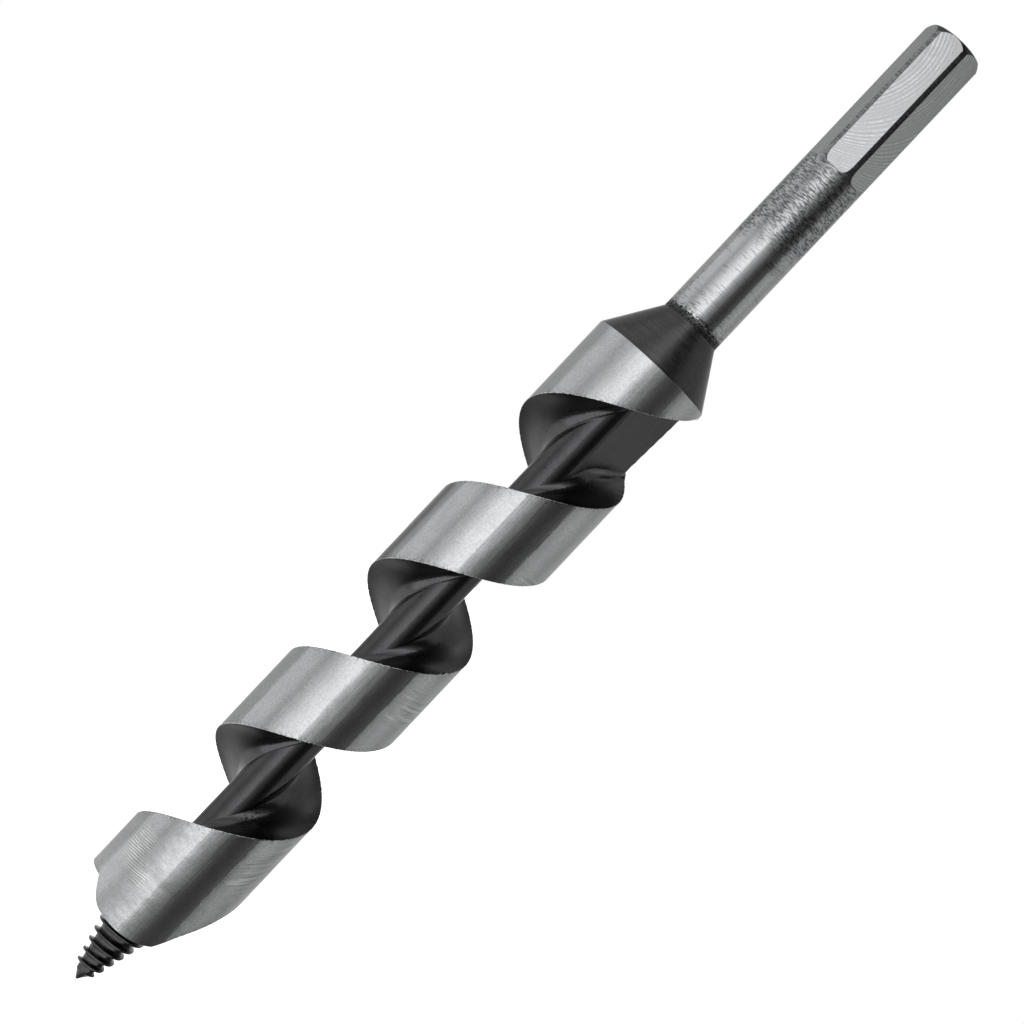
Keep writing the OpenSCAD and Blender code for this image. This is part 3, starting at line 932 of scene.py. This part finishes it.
# Brightness of the walls at angles round the bit: 0 is behind the camera, and positive angles to its right
WALLS = [
    (-180, 1.0), (-168, 0.95), (-160, 0.42), (-114, 0.45), (-106, 0.70), (-80, 0.68), (-62, 0.50),
    (-46, 0.75), (-28, 1.15), (-12, 1.30), (-7, 1.32), (-1, 0.72), (5, 0.52), (10, 0.42), (15, 0.29),
    (24, 0.20), (28, 0.11), (36, 0.07), (46, 0.05), (58, 0.076), (67.5, 0.10), (70, 0.30), (80, 0.385),
    (95, 0.45), (120, 0.354), (145, 0.43), (160, 0.43), (168, 0.95), (180, 1.0)]
# Heights of a ray, -1 straight down, between which the walls give way to the table and it to its lit half
TABLE_Z = (-0.18, -0.36)
LIT_Z = (-0.36, -0.5)
# The table brightens from front right to back left, and its lit half towards the front
TABLE_SLANT = (-0.2, 0.6)
TABLE_BRIGHT = (0.08, 1.0)
LIT_FRONT = (0.1, 0.4)
LIT_BRIGHT = (0.0, 1.3)
# Camera: its sensor and lens, its place, and its roll about the line of sight
SENSOR_W = 36.0
LENS_L = 84.4
EYE = (-0.5, -433.5, -116.05)
EYE_ROLL = 43.33


def floor():
    """Pale floor under the point, lit to white. It isn't mirrored in the steel."""
    half, low = FLOOR_HALF * MM, (POINT_Z - FLOOR_GAP) * MM
    corners = [(-half, -half, low), (half, -half, low), (half, half, low), (-half, half, low)]
    mesh = bpy.data.meshes.new("floor")
    mesh.from_pydata(corners, [], [(0, 1, 2, 3)])
    material, _, shader, _ = begin("pale floor", metallic=0.0)
    shader.inputs["Base Color"].default_value = linear("#f4f4f4")
    shader.inputs["Roughness"].default_value = 0.9
    shader.inputs["Emission Color"].default_value = linear("#ffffff")
    shader.inputs["Emission Strength"].default_value = 0.9
    mesh.materials.append(material)
    plane = bpy.data.objects.new("floor", mesh)
    bpy.context.scene.collection.objects.link(plane)
    plane.visible_glossy = False


def studio():
    """Soft studio light: tall pale and dark walls round the bit, a table below, and plain white behind."""
    world = bpy.data.worlds.new("studio")
    world.use_nodes = True
    bpy.context.scene.world = world
    tree = world.node_tree
    tree.nodes.clear()
    ray = add(tree, "ShaderNodeTexCoord").outputs["Generated"]
    x, y, z = add(tree, "ShaderNodeSeparateXYZ", {0: ray}).outputs
    front = add(tree, "ShaderNodeMath", {0: y, 1: -1.0}, operation="MULTIPLY").outputs[0]
    slant = add(tree, "ShaderNodeMath", {0: y, 1: x}, operation="SUBTRACT").outputs[0]
    angle = add(tree, "ShaderNodeMath", {0: x, 1: front}, operation="ARCTAN2").outputs[0]
    ranges = [(angle, (-np.pi, np.pi), (0, 1)), (z, TABLE_Z, (0, 1)), (z, LIT_Z, (0, 1)),
              (slant, TABLE_SLANT, TABLE_BRIGHT), (front, LIT_FRONT, LIT_BRIGHT)]
    share, low, steep, table, near = (
        add(tree, "ShaderNodeMapRange", {
            "Value": value, "From Min": start, "From Max": end, "To Min": least, "To Max": most}).outputs[0]
        for value, (start, end), (least, most) in ranges)
    ramp = add(tree, "ShaderNodeValToRGB", {"Fac": share})
    stops = ramp.color_ramp.elements
    for at, _ in WALLS[1:-1]:
        stops.new((at + 180) / 360)
    for stop, (at, bright) in zip(stops, WALLS):
        stop.position = (at + 180) / 360
        stop.color = (bright, bright, bright, 1)
    lit = both(tree, near, steep)
    below = add(tree, "ShaderNodeMath", {0: table, 1: lit}, operation="MAXIMUM").outputs[0]
    light = add(tree, "ShaderNodeMix", {0: low, 6: ramp.outputs[0], 7: below}, data_type="RGBA").outputs[2]
    walls = add(tree, "ShaderNodeBackground", {"Color": light, "Strength": 1.0})
    white = add(tree, "ShaderNodeBackground", {"Color": linear("#ffffff"), "Strength": 1.0})
    seen = add(tree, "ShaderNodeLightPath").outputs["Is Camera Ray"]
    mix = add(tree, "ShaderNodeMixShader", {0: seen, 1: walls.outputs[0], 2: white.outputs[0]})
    add(tree, "ShaderNodeOutputWorld", {"Surface": mix.outputs[0]})
    bpy.context.scene.view_settings.view_transform = "Standard"


def camera():
    """Level camera in front of the bit, rolled so that the shank points up and right."""
    data = bpy.data.cameras.new("camera")
    data.sensor_width = SENSOR_W
    data.lens = LENS_L
    place = Matrix.Translation([side * MM for side in EYE])
    level = Matrix.Rotation(np.radians(90), 4, "X")
    roll = Matrix.Rotation(np.radians(EYE_ROLL), 4, "Z")
    eye = bpy.data.objects.new("camera", data)
    eye.matrix_world = place @ level @ roll
    bpy.context.scene.collection.objects.link(eye)
    bpy.context.scene.camera = eye


floor()
studio()
camera()

bpy.context.view_layer.update()
